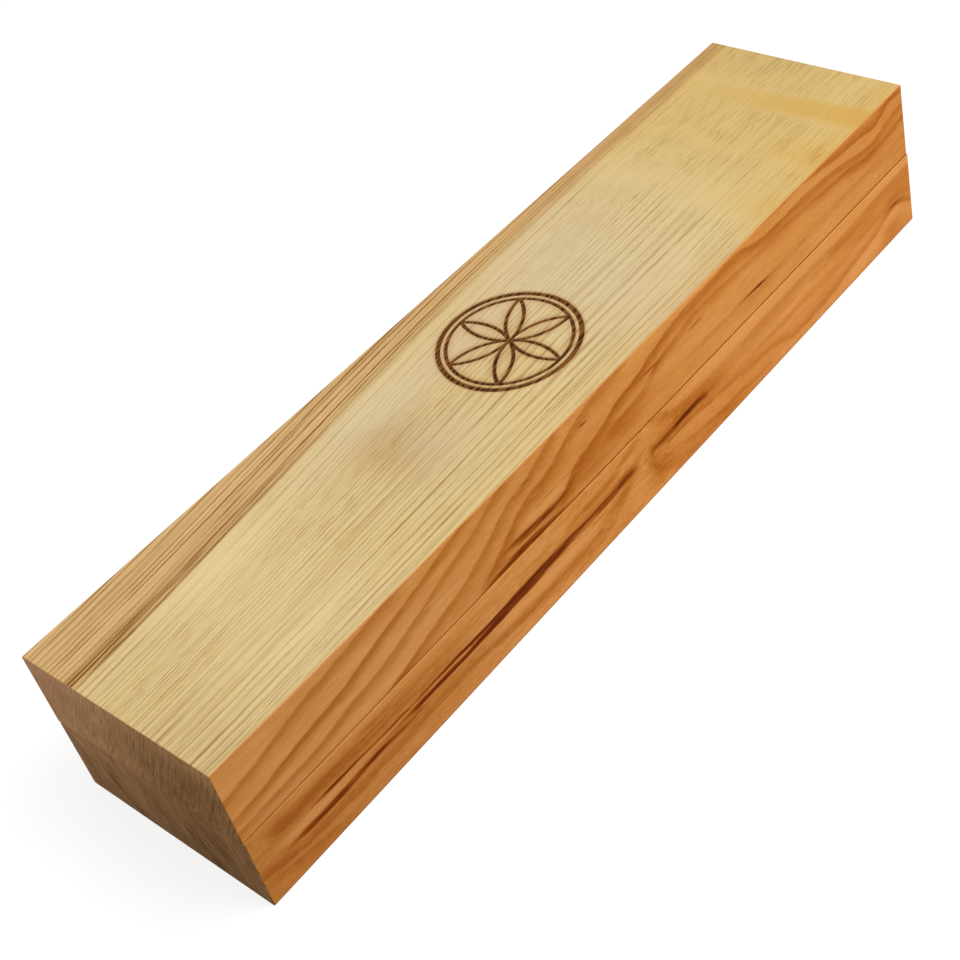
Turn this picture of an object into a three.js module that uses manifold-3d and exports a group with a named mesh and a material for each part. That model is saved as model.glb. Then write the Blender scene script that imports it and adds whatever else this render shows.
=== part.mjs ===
// A wooden display case for one sheath knife. Base and lid are two solid ash blocks of equal
// height, milled hollow and joined by two small brass butt hinges let into the rear rims. Disc
// magnets in the front rims hold the case shut. A die-cut foam nest in the base takes the knife,
// and a foam pad in the lid keeps it down. The lid folds back 180 degrees until it lies flat
// beside the base.
//
// Millimetres, +Z up. The origin is the centre of the base's underside, the front faces -Y, the
// hinges are on the +Y side and the length runs along X. Left and right are seen from the front.
import * as THREE from 'three';
import { RoundedBoxGeometry } from 'three/addons/geometries/RoundedBoxGeometry.js';
import { mergeVertices } from 'three/addons/utils/BufferGeometryUtils.js';
import Module from 'manifold-3d';

const wasm = await Module();
wasm.setup();

// Outer size of the case
const caseLength = 322;
const caseWidth = 76;
const baseHeight = 27.5;
const lidHeight = 27.5;
const lidSetback = 0.4; // the lid sits this far behind the base
const arrisRadius = 0.5;

// Walls that the cutter leaves
const frontWall = 11;
const rearWall = 13;
const endWall = 14;
const baseFloor = 8;
const lidCeiling = 8;
const cavityCornerRadius = 10;
const mouthChamfer = 0.6;

// Fits
const seatGap = 0.3; // between a piece and the bore, mortise or wall that it seats in
const overrun = 1; // how far a cutter passes the face that it cuts
const weldTolerance = 1e-4;

// Foam
const nestFloorThickness = 4;
const nestSink = 2.5; // from the rim down to the nest's face
const padThickness = 10;

// The knife-shaped cut in the nest
const nestEndMargin = 18.7; // foam left beyond the butt and the point
const handleLength = 118;
const buttWidth = 31;
const handleWaist = 26;
const guardLength = 9;
const guardMargin = 6.7; // foam left beyond each end of the guard
const bladeWidth = 28;
const scoopMargin = 4.7; // foam left beyond each side of the finger cut

// Hinges
const hingeEndDistance = 55; // from the case's end to the middle of a hinge
const hingeLength = 32;
const leafReach = 9; // from the rear face into the rim
const leafThickness = 0.9;
const leafGap = 0.3; // between the two closed leaves
const leafCornerRadius = 0.8;
const knuckleCount = 5;
const knuckleGap = 0.3;
const pinDiameter = 1.9;
const pinClearance = 0.12;
const pinHeadLip = 0.5; // how far a head stands out past the pin's side
const pinHeadHeight = 0.7;

// Hinge screws
const screwEndDistance = 7; // from the hinge's end
const screwLength = 9;
const shankDiameter = 1.8;
const screwTipLength = 2.2;
const screwWeb = 0.1; // leaf left below the countersink
const slotWidth = 0.5;
const slotDepth = 0.4;
const screwGap = 0.15;

// Magnets
const magnetEndDistance = 44; // from the case's end
const magnetDiameter = 6;
const magnetThickness = 3;
const magnetArris = 0.25;

// Facets of the round forms
const arrisSteps = 2;
const cornerSteps = 4;
const rollSteps = 11;
const outlineSteps = 10;
const leafCornerSteps = 2;
const boreSides = 24;
const pinSides = 22;
const screwSides = 16;
const scoopSides = 48;

// Sizes that follow
const cavityLength = caseLength - 2 * endWall;
const cavityWidth = caseWidth - frontWall - rearWall;
const cavityCentreY = (frontWall - rearWall) / 2;
const foamLength = cavityLength - 2 * seatGap;
const foamWidth = cavityWidth - 2 * seatGap;
const foamCornerRadius = cavityCornerRadius - seatGap;
const nestThickness = baseHeight - baseFloor - nestFloorThickness - nestSink;
const bladeLength = foamLength - 2 * nestEndMargin - handleLength - guardLength;
const guardWidth = foamWidth - 2 * guardMargin;
const scoopDiameter = foamWidth - 2 * scoopMargin;
const boreRadius = pinDiameter / 2 + pinClearance;
const rollRadius = boreRadius + leafThickness;
const hingeOut = lidSetback + seatGap + rollRadius; // from the base's rear face to the hinge axis
const hingeAxisY = caseWidth / 2 + hingeOut;
const knuckleLength = (hingeLength - (knuckleCount - 1) * knuckleGap) / knuckleCount;
const pinHeadRadius = pinDiameter / 2 + pinHeadLip;
const screwHeadHeight = leafThickness - screwWeb;
const screwHeadRadius = shankDiameter / 2 + screwHeadHeight;
const screwInset = leafReach / 2; // from the rear face

const ash = new THREE.MeshStandardMaterial({ color: 0xdcc28c, roughness: 0.55 });
const blackFoam = new THREE.MeshStandardMaterial({ color: 0x1d1b1a, roughness: 0.95 });
const brass = new THREE.MeshStandardMaterial({ color: 0xc9a24f, roughness: 0.3, metalness: 1 });
const nickel = new THREE.MeshStandardMaterial({ color: 0xb9babd, roughness: 0.25, metalness: 1 });

// A closed geometry as a solid that can be cut and joined.
function toSolid(geometry) {
  const bare = geometry.clone();
  bare.deleteAttribute('normal');
  bare.deleteAttribute('uv');
  const welded = mergeVertices(bare, weldTolerance);
  return new wasm.Manifold(new wasm.Mesh({
    numProp: 3,
    vertProperties: welded.attributes.position.array,
    triVerts: new Uint32Array(welded.index.array),
  }));
}

// A solid's surface as a geometry with flat faces.
function toGeometry(solid) {
  const surface = solid.getMesh();
  const indexed = new THREE.BufferGeometry();
  indexed.setAttribute('position', new THREE.BufferAttribute(surface.vertProperties, 3));
  indexed.setIndex(new THREE.BufferAttribute(surface.triVerts, 1));
  const geometry = indexed.toNonIndexed();
  geometry.computeVertexNormals();
  return geometry;
}

// A rectangle round the origin, with quarter-circle corners.
function roundedRectangle(length, width, radius) {
  const right = length / 2 - radius;
  const top = width / 2 - radius;
  const shape = new THREE.Shape();
  shape.moveTo(-right, -width / 2);
  shape.absarc(right, -top, radius, -Math.PI / 2, 0);
  shape.absarc(right, top, radius, 0, Math.PI / 2);
  shape.absarc(-right, top, radius, Math.PI / 2, Math.PI);
  shape.absarc(-right, -top, radius, Math.PI, Math.PI * 1.5);
  shape.closePath();
  return shape;
}

// A shape in the XY plane, carried from one height to another.
function prism(shape, from, to, curveSegments) {
  const geometry = new THREE.ExtrudeGeometry(shape, {
    depth: Math.abs(to - from),
    bevelEnabled: false,
    curveSegments,
  });
  return geometry.translate(0, 0, Math.min(from, to));
}

// A round bar along Z, from one height to another.
function bar(radius, from, to, sides) {
  const geometry = new THREE.CylinderGeometry(radius, radius, Math.abs(to - from), sides);
  return geometry.rotateX(Math.PI / 2).translate(0, 0, (from + to) / 2);
}

// A box from one corner to the opposite one.
function boxBetween(low, high) {
  const size = high.clone().sub(low);
  const centre = low.clone().add(high).multiplyScalar(0.5);
  return new THREE.BoxGeometry(size.x, size.y, size.z).translate(centre.x, centre.y, centre.z);
}

// A profile of [radius, height] pairs, revolved about Z.
function revolved(profile, sides) {
  const points = profile.map(([radius, height]) => new THREE.Vector2(radius, height));
  return new THREE.LatheGeometry(points, sides).rotateX(Math.PI / 2);
}

// The blocks are drawn with their rim at z = 0. side is -1 for the base, whose wood lies below
// the rim, and 1 for the lid, whose wood lies above it.
const fromCentre = (distance) => [-distance, distance];
const hingeXs = fromCentre(caseLength / 2 - hingeEndDistance);
const magnetXs = fromCentre(caseLength / 2 - magnetEndDistance);
const screwXs = fromCentre(hingeLength / 2 - screwEndDistance);
const magnetY = -caseWidth / 2 + frontWall / 2;
const screwY = caseWidth / 2 - screwInset;

// The space that the router clears, with a chamfer round its mouth.
function cavityCutter(side, depth) {
  const outline = roundedRectangle(cavityLength, cavityWidth, cavityCornerRadius);
  const well = toSolid(prism(outline, -side * overrun, side * depth, cornerSteps));
  const flare = new THREE.ExtrudeGeometry(outline, {
    depth: overrun,
    bevelThickness: mouthChamfer,
    bevelSize: mouthChamfer,
    bevelSegments: 1,
    curveSegments: cornerSteps,
  });
  flare.translate(0, 0, side < 0 ? 0 : -overrun);
  return well.add(toSolid(flare)).translate(0, cavityCentreY, 0);
}

// The shallow step in a rear rim that one hinge leaf lies in, open to the rear.
function mortiseCutter(side, x, rearY) {
  const depth = leafGap / 2 + leafThickness;
  const halfLength = hingeLength / 2 + seatGap;
  const floor = side * depth;
  const past = -side * overrun;
  const low = new THREE.Vector3(x - halfLength, rearY - leafReach - seatGap, Math.min(floor, past));
  const high = new THREE.Vector3(x + halfLength, rearY + overrun, Math.max(floor, past));
  return toSolid(boxBetween(low, high));
}

// A block with its cavity, mortises, pilot holes and magnet bores. setback moves what belongs to
// the hinges, because they keep their place while the lid sits further back.
function milledBlock(side, height, skin, setback) {
  const blank = new RoundedBoxGeometry(caseLength, caseWidth, height, arrisSteps, arrisRadius);
  let solid = toSolid(blank.translate(0, 0, side * height / 2));
  solid = solid.subtract(cavityCutter(side, height - skin));
  for (const x of hingeXs) {
    solid = solid.subtract(mortiseCutter(side, x, caseWidth / 2 - setback));
    for (const dx of screwXs) {
      const pilot = bar(shankDiameter / 2 + screwGap, 0, side * (screwLength + seatGap), screwSides);
      pilot.translate(x + dx, screwY - setback, 0);
      solid = solid.subtract(toSolid(pilot));
    }
  }
  for (const x of magnetXs) {
    const depth = magnetThickness + 2 * seatGap;
    const bore = bar(magnetDiameter / 2 + seatGap, -side * overrun, side * depth, boreSides);
    solid = solid.subtract(toSolid(bore.translate(x, magnetY, 0)));
  }
  return toGeometry(solid);
}

// The outline of the knife-shaped cut: handle to the left, blade to the right with its edge
// towards the front. The handle has a waist and a swell for the palm, and the blade is clipped.
function knifeOutline() {
  const guardLeft = -(handleLength + guardLength + bladeLength) / 2 + handleLength;
  const guardRight = guardLeft + guardLength;
  const butt = guardLeft - handleLength;
  const tip = guardRight + bladeLength;
  const buttRadius = buttWidth / 2;
  const palmShare = 0.72;
  const waistShare = 0.4;
  const spineShare = 0.42;
  const clipShare = 0.56;
  const bellyShare = 0.62;
  const tipShare = 0.16;
  const spine = bladeWidth * spineShare;
  const edge = spine - bladeWidth;
  const tipY = spine - bladeWidth * tipShare;
  const shape = new THREE.Shape();
  shape.moveTo(butt + buttRadius, buttRadius);
  shape.absarc(butt + buttRadius, 0, buttRadius, Math.PI / 2, Math.PI * 1.5);
  shape.splineThru([
    new THREE.Vector2(butt + handleLength * waistShare, -handleWaist / 2),
    new THREE.Vector2(butt + handleLength * palmShare, -buttRadius),
    new THREE.Vector2(guardLeft, -handleWaist / 2),
  ]);
  shape.lineTo(guardLeft, -guardWidth / 2);
  shape.lineTo(guardRight, -guardWidth / 2);
  shape.lineTo(guardRight, edge);
  shape.lineTo(guardRight + bladeLength * bellyShare, edge);
  shape.quadraticCurveTo(tip - bladeWidth * tipShare, edge, tip, tipY);
  shape.quadraticCurveTo(tip - bladeWidth, spine, guardRight + bladeLength * clipShare, spine);
  shape.lineTo(guardRight, spine);
  shape.lineTo(guardRight, guardWidth / 2);
  shape.lineTo(guardLeft, guardWidth / 2);
  shape.lineTo(guardLeft, handleWaist / 2);
  shape.splineThru([
    new THREE.Vector2(butt + handleLength * waistShare, handleWaist / 2),
    new THREE.Vector2(butt + buttRadius, buttRadius),
  ]);
  return shape;
}

// The nest: a foam slab with the knife's outline cut through it, and a round cut across the
// handle for two fingers. Its underside is at z = 0.
function nestGeometry() {
  const slab = toSolid(prism(
    roundedRectangle(foamLength, foamWidth, foamCornerRadius), 0, nestThickness, cornerSteps,
  ));
  const knife = toSolid(prism(knifeOutline(), -overrun, nestThickness + overrun, outlineSteps));
  const scoop = bar(scoopDiameter / 2, -overrun, nestThickness + overrun, scoopSides);
  scoop.translate(-(guardLength + bladeLength) / 2, 0, 0);
  return toGeometry(slab.subtract(knife).subtract(toSolid(scoop)));
}

// A plain slab of foam that fills the cavity's outline. Its underside is at z = 0.
function foamSlab(thickness) {
  return prism(roundedRectangle(foamLength, foamWidth, foamCornerRadius), 0, thickness, cornerSteps);
}

// The section of a hinge leaf, in the plane across the hinge axis: x is the way out of the case
// and y is up, with the axis at the origin. The flat leaf ends in a roll that goes round the pin
// and stops just short of the leaf.
function leafSection(side) {
  const near = -leafGap / 2;
  const far = near - leafThickness;
  const innerEnd = -hingeOut - leafReach;
  const seamShare = 0.99; // of the last half turn
  const startAngle = Math.PI - Math.asin(far / rollRadius);
  const seamAngle = Math.PI * (2 + seamShare);
  const closeAngle = Math.PI - Math.asin(near / boreRadius);
  const outline = new THREE.Path();
  outline.moveTo(innerEnd, far);
  outline.absarc(0, 0, rollRadius, startAngle, seamAngle, false);
  outline.absarc(0, 0, boreRadius, seamAngle, closeAngle, true);
  outline.lineTo(innerEnd, near);
  return new THREE.Shape(outline.getPoints(rollSteps).map((p) => new THREE.Vector2(p.x, -side * p.y)));
}

// One leaf of a hinge, with the hinge axis along X at the origin. The base leaf has the odd
// knuckles and the lid leaf the even ones.
function leafGeometry(side) {
  const sweep = new THREE.ExtrudeGeometry(leafSection(side), {
    depth: hingeLength,
    bevelEnabled: false,
  });
  // The section's x becomes Y, its y becomes Z and its depth becomes X.
  sweep.applyMatrix4(new THREE.Matrix4().set(0, 0, 1, 0, 1, 0, 0, 0, 0, 1, 0, 0, 0, 0, 0, 1));
  let leaf = toSolid(sweep.translate(-hingeLength / 2, 0, 0));
  const relief = rollRadius + seatGap;
  for (let i = side < 0 ? 1 : 0; i < knuckleCount; i += 2) {
    const start = -hingeLength / 2 + i * (knuckleLength + knuckleGap);
    const low = new THREE.Vector3(start - knuckleGap, -relief, -relief);
    const high = new THREE.Vector3(start + knuckleLength + knuckleGap, relief, relief);
    leaf = leaf.subtract(toSolid(boxBetween(low, high)));
  }
  const plan = roundedRectangle(hingeLength, 2 * (hingeOut + leafReach), leafCornerRadius);
  leaf = leaf.intersect(toSolid(prism(plan, -relief, relief, leafCornerSteps)));
  const holeRadius = shankDiameter / 2 + screwGap;
  const countersink = revolved([
    [0, -overrun],
    [screwHeadRadius + screwGap + overrun, -overrun],
    [holeRadius, screwHeadHeight],
    [holeRadius, leafThickness + overrun],
    [0, leafThickness + overrun],
  ], screwSides);
  if (side < 0) countersink.rotateX(Math.PI);
  for (const dx of screwXs) {
    const hole = countersink.clone().translate(dx, -hingeOut - screwInset, side * leafGap / 2);
    leaf = leaf.subtract(toSolid(hole));
  }
  return toGeometry(leaf);
}

// The hinge pin along X, with a peened head outside each end knuckle.
function pinGeometry() {
  const shoulder = hingeLength / 2 + pinClearance;
  const end = shoulder + pinHeadHeight;
  const pinRadius = pinDiameter / 2;
  const crownShare = 0.6;
  return revolved([
    [0, -end],
    [pinHeadRadius * crownShare, -end],
    [pinHeadRadius, -shoulder - pinHeadHeight * crownShare],
    [pinHeadRadius, -shoulder],
    [pinRadius, -shoulder],
    [pinRadius, shoulder],
    [pinHeadRadius, shoulder],
    [pinHeadRadius, shoulder + pinHeadHeight * crownShare],
    [pinHeadRadius * crownShare, end],
    [0, end],
  ], pinSides).rotateY(Math.PI / 2);
}

// A slotted countersunk wood screw. Its head's face is at z = 0 and it points up, or down where
// side is -1.
function screwGeometry(side) {
  const shankRadius = shankDiameter / 2;
  const body = revolved([
    [0, 0],
    [screwHeadRadius, 0],
    [shankRadius, screwHeadHeight],
    [shankRadius, screwLength - screwTipLength],
    [0, screwLength],
  ], screwSides);
  const half = screwHeadRadius + overrun;
  const slot = boxBetween(
    new THREE.Vector3(-half, -slotWidth / 2, -overrun),
    new THREE.Vector3(half, slotWidth / 2, slotDepth),
  );
  const screw = toGeometry(toSolid(body).subtract(toSolid(slot)));
  return side < 0 ? screw.rotateX(Math.PI) : screw;
}

// A disc magnet with its face at z = 0 and its body above, or below where side is -1.
function magnetGeometry(side) {
  const radius = magnetDiameter / 2;
  const disc = revolved([
    [0, 0],
    [radius - magnetArris, 0],
    [radius, magnetArris],
    [radius, magnetThickness - magnetArris],
    [radius - magnetArris, magnetThickness],
    [0, magnetThickness],
  ], boreSides);
  return side < 0 ? disc.rotateX(Math.PI) : disc;
}

function piece(name, geometry, material, parent) {
  const mesh = new THREE.Mesh(geometry, material);
  mesh.name = name;
  parent.add(mesh);
  return mesh;
}

const displayCase = new THREE.Group();
const sides = [
  { half: 'base', side: -1, height: baseHeight, skin: baseFloor, setback: 0 },
  { half: 'lid', side: 1, height: lidHeight, skin: lidCeiling, setback: lidSetback },
];

// Base and lid, each with its magnets, on the plane where they part
for (const { half, side, height, skin, setback } of sides) {
  const group = new THREE.Group();
  group.position.set(0, setback, baseHeight);
  displayCase.add(group);
  piece(half + '_block', milledBlock(side, height, skin, setback), ash, group);
  magnetXs.forEach((x, i) => {
    const magnet = piece(half + '_magnet_' + ['left', 'right'][i], magnetGeometry(side), nickel, group);
    magnet.position.set(x, magnetY, side * seatGap);
  });
}

// Foam
const nestFloor = piece('nest_floor', foamSlab(nestFloorThickness), blackFoam, displayCase);
nestFloor.position.set(0, cavityCentreY, baseFloor);
const nest = piece('knife_nest', nestGeometry(), blackFoam, displayCase);
nest.position.set(0, cavityCentreY, baseFloor + nestFloorThickness);
const pad = piece('lid_pad', foamSlab(padThickness), blackFoam, displayCase);
pad.position.set(0, cavityCentreY + lidSetback, baseHeight + lidHeight - lidCeiling - padThickness);

// Hinges, each on its own axis
hingeXs.forEach((x, i) => {
  const name = 'hinge_' + ['left', 'right'][i];
  const hinge = new THREE.Group();
  hinge.position.set(x, hingeAxisY, baseHeight);
  displayCase.add(hinge);
  piece(name + '_pin', pinGeometry(), brass, hinge);
  for (const { half, side } of sides) {
    piece(name + '_' + half + '_leaf', leafGeometry(side), brass, hinge);
    screwXs.forEach((dx, j) => {
      const screwName = name + '_' + half + '_screw_' + (j + 1);
      const screw = piece(screwName, screwGeometry(side), brass, hinge);
      screw.position.set(dx, -hingeOut - screwInset, side * leafGap / 2);
    });
  }
});

export default displayCase;
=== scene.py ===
import math

import bmesh
import bpy
import numpy as np
from mathutils import Matrix, Vector


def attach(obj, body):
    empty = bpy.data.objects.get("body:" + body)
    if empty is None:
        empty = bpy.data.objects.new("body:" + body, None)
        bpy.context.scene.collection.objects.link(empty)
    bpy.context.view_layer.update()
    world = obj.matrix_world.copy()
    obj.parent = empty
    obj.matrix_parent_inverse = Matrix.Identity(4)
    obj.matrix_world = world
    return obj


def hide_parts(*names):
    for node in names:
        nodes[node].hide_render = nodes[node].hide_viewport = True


# The looks of a hinged ash case: figured wood, brass hinges, nickel magnets and dark foam.
# Lengths here are in millimetres, as on the drawing. mm() turns them into Blender's metres.

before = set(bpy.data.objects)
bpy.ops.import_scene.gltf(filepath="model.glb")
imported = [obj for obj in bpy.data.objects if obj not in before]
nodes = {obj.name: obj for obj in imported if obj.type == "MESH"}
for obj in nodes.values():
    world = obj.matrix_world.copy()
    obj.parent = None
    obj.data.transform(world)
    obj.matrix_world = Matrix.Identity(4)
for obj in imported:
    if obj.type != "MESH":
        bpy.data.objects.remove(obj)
bpy.context.view_layer.update()


def mm(length):
    """Millimetres to metres."""
    return length * 0.001


# Sizes of the case that the wood figure and the carving refer to.
case_half_length = 161.0
base_front, base_rear = -38.0, 38.0
lid_front, lid_rear = -37.6, 38.4
split_height, lid_top = 27.5, 55.0
cavity_half_length = 147.0
cavity_front, cavity_rear = -27.0, 25.4
cavity_floor, cavity_ceiling = 8.0, 47.0
arris_radius = 0.5
split_arris_share = 0.35  # what is left of the lid's arris over the split

# The rosette on the lid, and the square of fine grid that it is cut in.
carving_radius, carving_depth = 22.4, 0.45
rim_inset, petal_ring_inset = 0.45, 2.9
rim_half_width, petal_half_width = 0.85, 0.62
rim_burn, petal_burn = 0.80, 0.60
burn_fade, scorch_reach = 0.22, 1.3
patch_half_side, patch_step = 24.0, 0.2

# Camera, found from the corners of the case in the photograph.
lens_length, sensor_width = 68.21, 36.0
camera_place = (-276.61, -322.51, 389.56)
camera_view = (0.50048, 0.59008, -0.63351)
camera_up = (0.59858, 0.29282, 0.74563)
camera_shift = (-0.03215, -0.10869)

# Studio.
lamp_place, lamp_aim = (550.0, -750.0, 1750.0), (0.0, 0.0, 30.0)
lamp_side, lamp_watts = 1100.0, 24.0
floor_half_side, floor_drop = 6000.0, 0.05
paper_grey, paper_seen_grey, paper_seen_glow = 0.72, 0.28, 0.82
sky_strength, sky_seen_strength = 0.42, 1.0


def tint(red, green, blue):
    """A paint colour of 0 to 255 a channel as the linear colour that a shader takes."""
    share = np.array([red, green, blue]) / 255.0
    linear = np.where(share <= 0.04045, share / 12.92, ((share + 0.055) / 1.055) ** 2.4)
    return (*linear.tolist(), 1.0)


def grey(level):
    """A linear grey as a colour."""
    return (level, level, level, 1.0)


# Colours of the wood.
sap_light, sap_dark = tint(236, 209, 150), tint(176, 140, 78)
heart_left, heart_right = tint(232, 192, 132), tint(208, 166, 106)
heart_grain, heart_ring, heart_end = tint(154, 106, 56), tint(146, 97, 42), tint(206, 150, 112)
side_light_left = (tint(221, 151, 80), tint(227, 160, 94))
side_light_right = (tint(239, 162, 80), tint(245, 170, 95))
side_dark_left, side_dark_right, side_middle = tint(172, 98, 33), tint(190, 102, 22), tint(255, 251, 226)
stain_edge, stain_core = tint(168, 86, 12), tint(110, 38, 0)
# The split: painted shade of the gap on the front, at the left and at the right, and the lighter arrises on
# the ends.
split_shade_left, split_shade_right, split_end = tint(156, 92, 38), tint(126, 70, 22), tint(214, 168, 120)
foot_arris, top_arris = tint(112, 70, 36), tint(226, 172, 104)
scorch_brown, burn_brown, burn_black = tint(206, 146, 84), tint(142, 88, 40), tint(30, 12, 5)


def feed(socket, term):
    """Links a worked-out term to a socket, or sets a plain number or colour on it."""
    if isinstance(term, Term):
        socket.id_data.links.new(term.socket, socket)
    else:
        socket.default_value = term


class Term:
    """A number or colour that a finish works out at each point, added to with plain operators."""

    def __init__(self, socket):
        self.socket = socket

    def node(self, kind):
        return self.socket.id_data.nodes.new(kind)

    def maths(self, operation, *others):
        made = self.node("ShaderNodeMath")
        made.operation = operation
        for socket, term in zip(made.inputs, (self, *others)):
            feed(socket, term)
        return Term(made.outputs[0])

    def __add__(self, other):
        return self.maths("ADD", other)

    def __sub__(self, other):
        return self.maths("SUBTRACT", other)

    def __rsub__(self, other):
        return self.maths("MULTIPLY_ADD", -1.0, other)

    def __mul__(self, other):
        return self.maths("MULTIPLY", other)

    def __truediv__(self, other):
        return self.maths("DIVIDE", other)

    __radd__, __rmul__ = __add__, __mul__

    def size(self):
        """This term without its sign."""
        return self.maths("ABSOLUTE")

    def rise(self, low, high):
        """0 below low, 1 above high and an even S between them. With low above high it falls."""
        made = self.node("ShaderNodeMapRange")
        made.interpolation_type = "SMOOTHSTEP"
        up = low < high
        ends = (min(low, high), max(low, high), 0.0 if up else 1.0, 1.0 if up else 0.0)
        for socket, term in zip(made.inputs, (self, *ends)):
            feed(socket, term)
        return Term(made.outputs[0])

    def bell(self):
        """e to the minus square of this term: 1 at 0 and next to nothing past 2."""
        made = self.node("ShaderNodeMath")
        made.operation = "POWER"
        made.inputs[0].default_value = math.exp(-1.0)
        feed(made.inputs[1], self * self)
        return Term(made.outputs[0])

    def hump(self, centre, width):
        """A bell of height 1 at centre that has fallen to a third at width from it."""
        return self.maths("MULTIPLY_ADD", 1.0 / width, -centre / width).bell()

    def held(self):
        """Kept between 0 and 1."""
        made = self.node("ShaderNodeClamp")
        feed(made.inputs[0], self)
        return Term(made.outputs[0])

    def along(self, points):
        """Height of the smooth line through points (place, height), read at this term."""
        made = self.node("ShaderNodeFloatCurve")
        made.mapping.use_clip, made.mapping.extend = False, "HORIZONTAL"
        line = made.mapping.curves[0]
        for k, spot in enumerate(points):
            point = line.points[k] if k < 2 else line.points.new(*spot)
            point.location, point.handle_type = spot, "AUTO_CLAMPED"
        made.mapping.update()
        feed(made.inputs["Value"], self)
        return Term(made.outputs[0])

    def chance(self):
        """A whole number's own random share of 1."""
        made = self.node("ShaderNodeTexWhiteNoise")
        made.noise_dimensions = "1D"
        feed(made.inputs["W"], self)
        return Term(made.outputs["Value"])

    def paint(self, under, over, way="MIX"):
        """Colour under where this term is 0, over where it is 1."""
        made = self.node("ShaderNodeMix")
        made.data_type, made.blend_type = "RGBA", way
        feed(made.inputs["Factor"], self)
        feed(made.inputs[6], under)
        feed(made.inputs[7], over)
        return Term(made.outputs[2])


def pattern(kind, places, seed):
    """A texture node of a kind that is read at three places, with blobs one unit wide in each."""
    tree = next(place for place in places if isinstance(place, Term)).socket.id_data
    spot = tree.nodes.new("ShaderNodeCombineXYZ")
    for socket, place in zip(spot.inputs, places):
        feed(socket, place + seed)
    made = tree.nodes.new(kind)
    made.inputs["Scale"].default_value = 1.0
    feed(made.inputs["Vector"], Term(spot.outputs[0]))
    return made


def cloud(x, y, z, detail=2.0, rough=0.5, seed=0.0):
    """Soft noise of 0 to 1 about 0.5."""
    made = pattern("ShaderNodeTexNoise", (x, y, z), seed)
    made.inputs["Detail"].default_value = detail
    made.inputs["Roughness"].default_value = rough
    return Term(made.outputs["Fac"])


def cells(x, y, z, seed=0.0):
    """Distance of 0 to 1 from the middle of irregular cells."""
    return Term(pattern("ShaderNodeTexVoronoi", (x, y, z), seed).outputs["Distance"])


def seen_straight(tree):
    """1 where the camera sees a surface straight on or in a mirror, 0 where it only sends light."""
    rays = tree.nodes.new("ShaderNodeLightPath").outputs
    straight = Term(rays["Is Camera Ray"]).maths("MAXIMUM", Term(rays["Is Glossy Ray"]))
    return straight.maths("MAXIMUM", Term(rays["Is Transmission Ray"]))


def new_finish(name):
    """A material with its shader and the three object coordinates, in millimetres, as terms."""
    finish = bpy.data.materials.new(name)
    finish.use_nodes = True
    tree = finish.node_tree
    shader = next(n for n in tree.nodes if n.type == "BSDF_PRINCIPLED")
    place = tree.nodes.new("ShaderNodeTexCoord")
    apart = tree.nodes.new("ShaderNodeSeparateXYZ")
    tree.links.new(place.outputs["Object"], apart.inputs[0])
    x, y, z = (Term(out) * 1000.0 for out in apart.outputs)
    return finish, shader, x, y, z


def relief(shader, height, depth):
    """Turns a term of 0 to 1 into a relief that is depth millimetres deep."""
    made = shader.id_data.nodes.new("ShaderNodeBump")
    made.inputs["Strength"].default_value = 1.0
    made.inputs["Distance"].default_value = mm(depth)
    feed(made.inputs["Height"], height)
    feed(shader.inputs["Normal"], Term(made.outputs[0]))


def read(shader, name):
    """A number that the mesh itself carries at its points."""
    made = shader.id_data.nodes.new("ShaderNodeAttribute")
    made.attribute_name = name
    return Term(made.outputs["Fac"])


def stripe(under, x, z, above, below, points):
    """Adds to under a soft line through points (x, height, strength). It falls off as a bell over the
    millimetres above it and over those below it, so a small figure is a crisp edge."""
    places, heights, strengths = zip(*points)
    off = z - x.along(list(zip(places, heights)))
    bell = (off * (1.0 / above)).maths("MAXIMUM", off * (-1.0 / below)).bell()
    return bell.maths("MULTIPLY_ADD", x.along(list(zip(places, strengths))), under)


def with_patches(under, across, up, patches):
    """Adds to under soft patches (place across, place up, half width, half height, amount)."""
    for at_across, at_up, wide, tall, amount in patches:
        patch = across.hump(at_across, wide) * up.hump(at_up, tall)
        under = patch.maths("MULTIPLY_ADD", amount, under)
    return under


def growth_rings(x, s, counts, seed):
    """Thin dark lines where the ring number passes whole numbers, each ring with its own strength.

    counts gives the ring number at s millimetres across the rings. A slow noise is added, so no two
    rings are equally wide, and a line is crisp where it starts and fades behind."""
    number = s.along(counts) + (cloud(s / 6.0, x / 260.0, seed, 1.0) - 0.5) * 1.0
    whole = number.maths("FLOOR")
    past = number - whole
    strength = (whole + seed).chance() * 0.40 + 0.62
    broken = cloud(x / 12.0, number * 1.1, seed + 3.0, 3.0).rise(0.30, 0.62) * 0.60 + 0.36
    thin = s.hump(36.0, 4.0) * 0.9 + 1.0
    behind = (past * thin).hump(0.0, 0.15)
    ahead = ((past - 1.0) * thin).hump(0.0, 0.08) * 0.7
    return (behind + ahead) * strength * broken


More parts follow.
